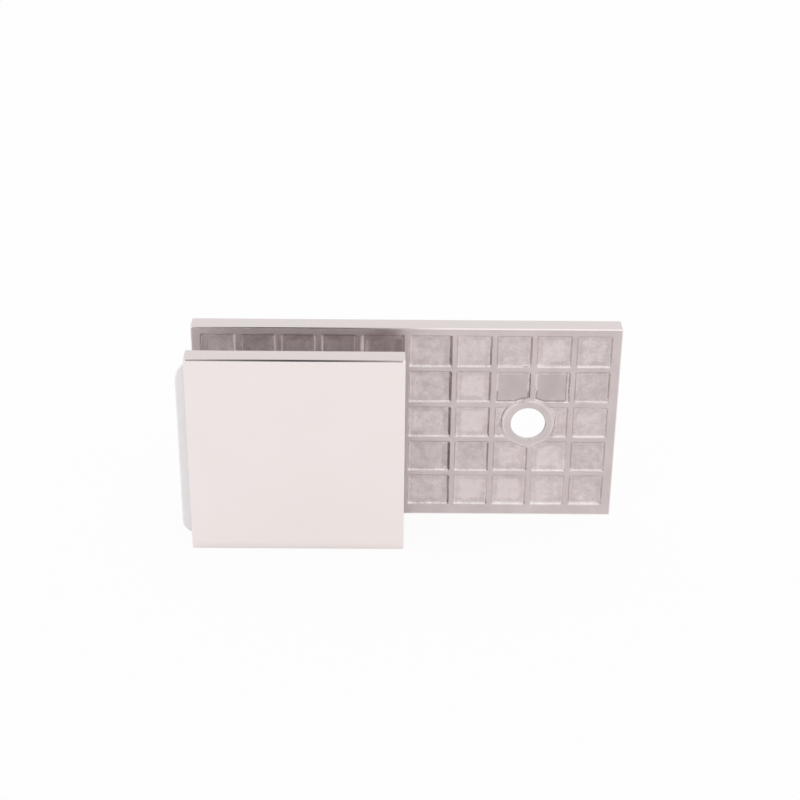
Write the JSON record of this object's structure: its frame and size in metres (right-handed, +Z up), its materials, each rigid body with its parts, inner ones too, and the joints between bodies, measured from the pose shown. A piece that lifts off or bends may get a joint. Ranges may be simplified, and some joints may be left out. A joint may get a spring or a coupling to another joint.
{
  "type": "shower glass clamp",
  "caption": "In-line clamp for frameless shower glass: a long back plate with a cast grid on its glass side and a square front plate drawn to it by a countersunk screw over a soft pad.",
  "frame": {"origin": "middle of the back plate's underside, halfway through its thickness", "axes": "+X along the back plate, +Y from the front plate towards the back plate's outer face, +Z up"},
  "size_m": [0.1029, 0.0222, 0.05],
  "materials": {
    "cast_plate": "as-cast grid, polished edges and outer face",
    "polished_plate": "mirror polished",
    "clear_pad": "soft translucent PVC",
    "screw_steel": "turned stainless steel"
  },
  "bodies": {
    "back_plate": {"back_plate": "cast_plate"},
    "clamp_screw": {"clamp_screw": "screw_steel"},
    "gasket": {"gasket": "clear_pad"},
    "front_plate": {"front_plate": "polished_plate"}
  },
  "joints": [
    {"name": "screw_turn", "type": "hinge", "parent": "back_plate", "child": "clamp_screw", "pos_m": [-0.029, 0, 0.0252], "axis": [0, -1, 0], "range_deg": [-865, 692]},
    {"name": "jaw_slide", "type": "slide", "parent": "back_plate", "child": "gasket", "axis": [0, 1, 0], "range_m": [-0.003, 0.0024]},
    {"name": "plate_swivel", "type": "hinge", "parent": "gasket", "child": "front_plate", "pos_m": [-0.029, -0.0132, 0.0252], "axis": [0, 1, 0], "continuous": true}
  ],
  "couplings": [
    {"joint": "screw_turn", "follows": "jaw_slide", "rad_per_m": 5026.5}
  ]
}
